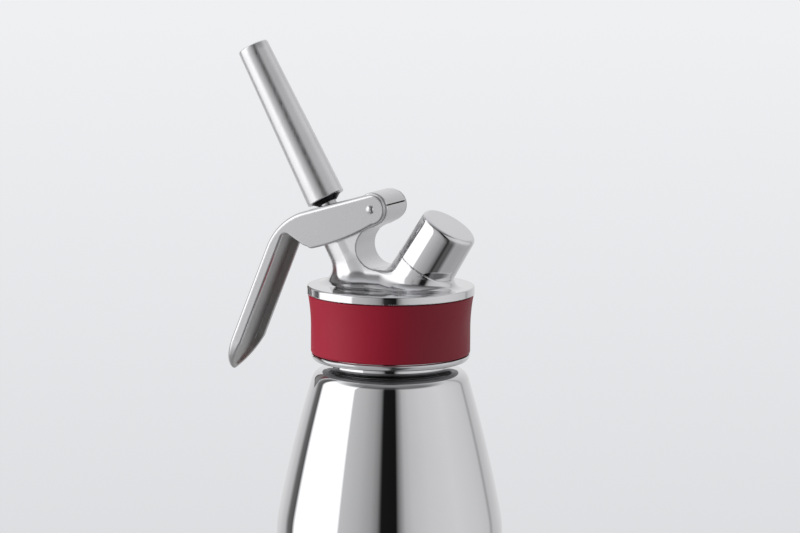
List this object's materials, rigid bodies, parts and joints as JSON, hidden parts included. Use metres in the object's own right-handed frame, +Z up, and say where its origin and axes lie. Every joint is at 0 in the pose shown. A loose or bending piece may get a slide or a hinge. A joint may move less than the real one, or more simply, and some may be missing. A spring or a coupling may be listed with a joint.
{
  "type": "whipped cream dispenser",
  "caption": "Polished steel whipped cream dispenser: waisted bottle, red grip band, squeeze lever, leaning straight nozzle and a screw cap over the charger stud.",
  "frame": {"origin": "centre of the foot, on the plane that the bottle stands on", "axes": "+Z up along the bottle; +X towards the charger cap; the lever and the nozzle lie towards -X; the mechanism is symmetric about the XZ plane"},
  "size_m": [0.1231, 0.095, 0.2899],
  "materials": {
    "polished_steel": "polished",
    "satin_steel": "satin",
    "brushed_steel": "brushed",
    "red_silicone": "matte",
    "seal_silicone": "matte",
    "black_plastic": "satin",
    "dark_rubber": "matte",
    "pale_plastic": "matte",
    "brass": "machined",
    "spring_steel": "drawn"
  },
  "bodies": {
    "bottle": {"bottle_shell": "polished_steel", "neck_ring": "polished_steel"},
    "gasket": {"head_gasket": "seal_silicone"},
    "head": {"head_casting": "polished_steel", "grip_band": "red_silicone", "charger_stud": "satin_steel", "gas_filter": "pale_plastic", "piercing_pin": "satin_steel", "piercer_seal": "dark_rubber", "check_flap": "dark_rubber", "check_cage": "satin_steel", "valve_gland": "brass", "stem_o_ring": "dark_rubber", "valve_spring": "spring_steel"},
    "stem": {"valve_stem": "satin_steel", "press_collar": "satin_steel", "valve_disc": "dark_rubber", "disc_screw": "satin_steel"},
    "lever": {"lever": "satin_steel", "pivot_pin": "polished_steel"},
    "nozzle_washer": {"nozzle_seal": "black_plastic"},
    "nozzle": {"nozzle": "brushed_steel"},
    "liner": {"cap_liner": "dark_rubber"},
    "cap": {"cap": "polished_steel"}
  },
  "joints": [
    {"name": "head_lift", "type": "slide", "parent": "bottle", "child": "gasket", "axis": [0, 0, 1], "range_m": [0, 0.008]},
    {"name": "head_turn", "type": "hinge", "parent": "gasket", "child": "head", "pos_m": [0, 0, 0.17], "axis": [0, 0, 1], "range_deg": [0, 720]},
    {"name": "lever_squeeze", "type": "hinge", "parent": "head", "child": "lever", "pos_m": [-0.0044, 0, 0.22252], "axis": [0, -1, 0], "range_deg": [0, 12], "stiffness_Nm_per_rad": 0.57, "springref_deg": -20.05},
    {"name": "valve_press", "type": "slide", "parent": "head", "child": "stem", "axis": [0.4848, 0, -0.8746], "range_m": [0, 0.00471], "deforming": ["valve_spring"]},
    {"name": "nozzle_lift", "type": "slide", "parent": "stem", "child": "nozzle_washer", "axis": [-0.4848, 0, 0.8746], "range_m": [0, 0.005]},
    {"name": "nozzle_turn", "type": "hinge", "parent": "nozzle_washer", "child": "nozzle", "pos_m": [-0.03033, 0, 0.22434], "axis": [-0.4848, 0, 0.8746], "range_deg": [0, 1440]},
    {"name": "cap_lift", "type": "slide", "parent": "head", "child": "liner", "axis": [0.5299, 0, 0.848], "range_m": [0, 0.0045]},
    {"name": "cap_turn", "type": "hinge", "parent": "liner", "child": "cap", "pos_m": [0.01633, 0, 0.19933], "axis": [0.5299, 0, 0.848], "range_deg": [0, 1080]}
  ],
  "couplings": [
    {"joint": "head_turn", "follows": "head_lift", "rad_per_m": 1570.8},
    {"joint": "valve_press", "follows": "lever_squeeze", "m_per_rad": 0.0225},
    {"joint": "nozzle_turn", "follows": "nozzle_lift", "rad_per_m": 5026.5},
    {"joint": "cap_turn", "follows": "cap_lift", "rad_per_m": 4188.8}
  ]
}
